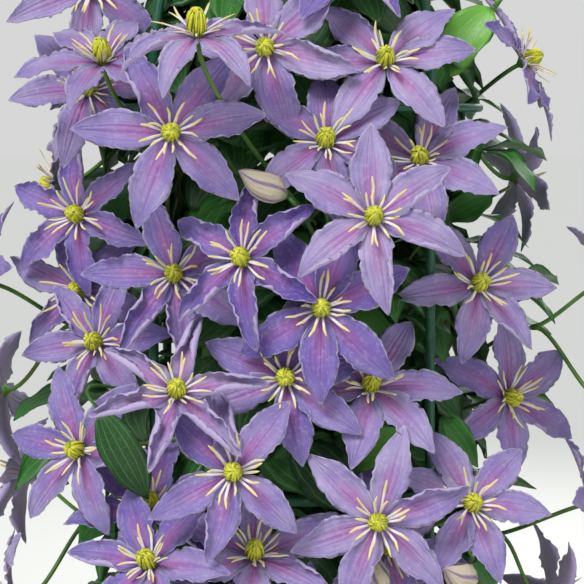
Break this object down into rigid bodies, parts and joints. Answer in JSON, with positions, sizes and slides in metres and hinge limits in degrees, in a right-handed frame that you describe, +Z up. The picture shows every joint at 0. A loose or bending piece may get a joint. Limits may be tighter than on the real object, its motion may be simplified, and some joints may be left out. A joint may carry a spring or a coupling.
{
  "type": "potted clematis",
  "caption": "Climbing plant with star-shaped six-tepalled lilac blooms and trifoliate leaves on a round domed rod support in a plain round flower pot.",
  "frame": {"origin": "centre of the flat face that the pot stands on", "axes": "+Z up, -Y towards the plant's best side, the one that is seen in the picture, +X to that view's right"},
  "size_m": [0.3653, 0.3561, 0.6962],
  "materials": {
    "pot": "matt fired clay",
    "soil": "loose crumbs of bark and potting mix",
    "support": "smooth green plastic coat on wire rod",
    "vine": "satin leaf",
    "bloom": "velvety petal",
    "bud": "velvety petal"
  },
  "bodies": {
    "root": {"pot": "pot", "soil": "soil", "support": "support", "bloom_01": "bloom", "bloom_02": "bloom", "bloom_03": "bloom", "bloom_04": "bloom", "bloom_05": "bloom", "bloom_06": "bloom", "bloom_07": "bloom", "bloom_08": "bloom", "bloom_09": "bloom", "bloom_10": "bloom", "bloom_11": "bloom", "bloom_12": "bloom", "bloom_13": "bloom", "bloom_14": "bloom", "bloom_15": "bloom", "bloom_16": "bloom", "bloom_17": "bloom", "bloom_18": "bloom", "bloom_19": "bloom", "bloom_20": "bloom", "bloom_21": "bloom", "bloom_22": "bloom", "bloom_23": "bloom", "bloom_24": "bloom", "bloom_25": "bloom", "bloom_26": "bloom", "bloom_27": "bloom", "bloom_28": "bloom", "bloom_29": "bloom", "bloom_30": "bloom", "bloom_31": "bloom", "bloom_32": "bloom", "spray_01": "bloom", "spray_02": "bloom", "spray_03": "bloom", "spray_04": "bloom", "spray_05": "bloom", "spray_06": "bloom", "spray_07": "bloom", "spray_08": "bloom", "spray_09": "bloom", "spray_10": "bloom", "spray_11": "bloom", "spray_12": "bloom", "bud_1": "bud", "bud_2": "bud", "bud_3": "bud", "vine_1": "vine", "vine_2": "vine", "vine_3": "vine", "vine_4": "vine", "vine_5": "vine"}
  },
  "joints": []
}
